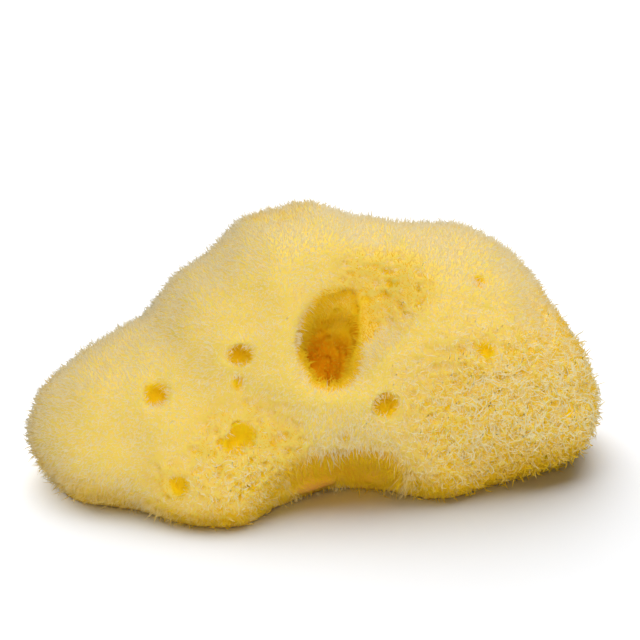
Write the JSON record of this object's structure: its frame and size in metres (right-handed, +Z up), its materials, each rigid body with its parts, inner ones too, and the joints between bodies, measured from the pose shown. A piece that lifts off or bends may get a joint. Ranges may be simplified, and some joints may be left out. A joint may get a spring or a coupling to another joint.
{
  "type": "sea sponge",
  "caption": "Lumpy yellow natural bath sponge with a deep round osculum in its front, smaller holes all over, fuzzy fibre skin and a flat cut underside to rest on.",
  "frame": {"origin": "middle of the sponge's box, on the flat cut underside that it rests on", "axes": "+Z up, +X along the sponge's length to its blunt right end, -Y towards the front with the great osculum"},
  "size_m": [0.1504, 0.0906, 0.0654],
  "materials": {
    "spongin": "soft matt golden-yellow spongin fibre, deeper orange inside the oscula"
  },
  "bodies": {
    "root": {"sponge": "spongin"}
  },
  "joints": []
}
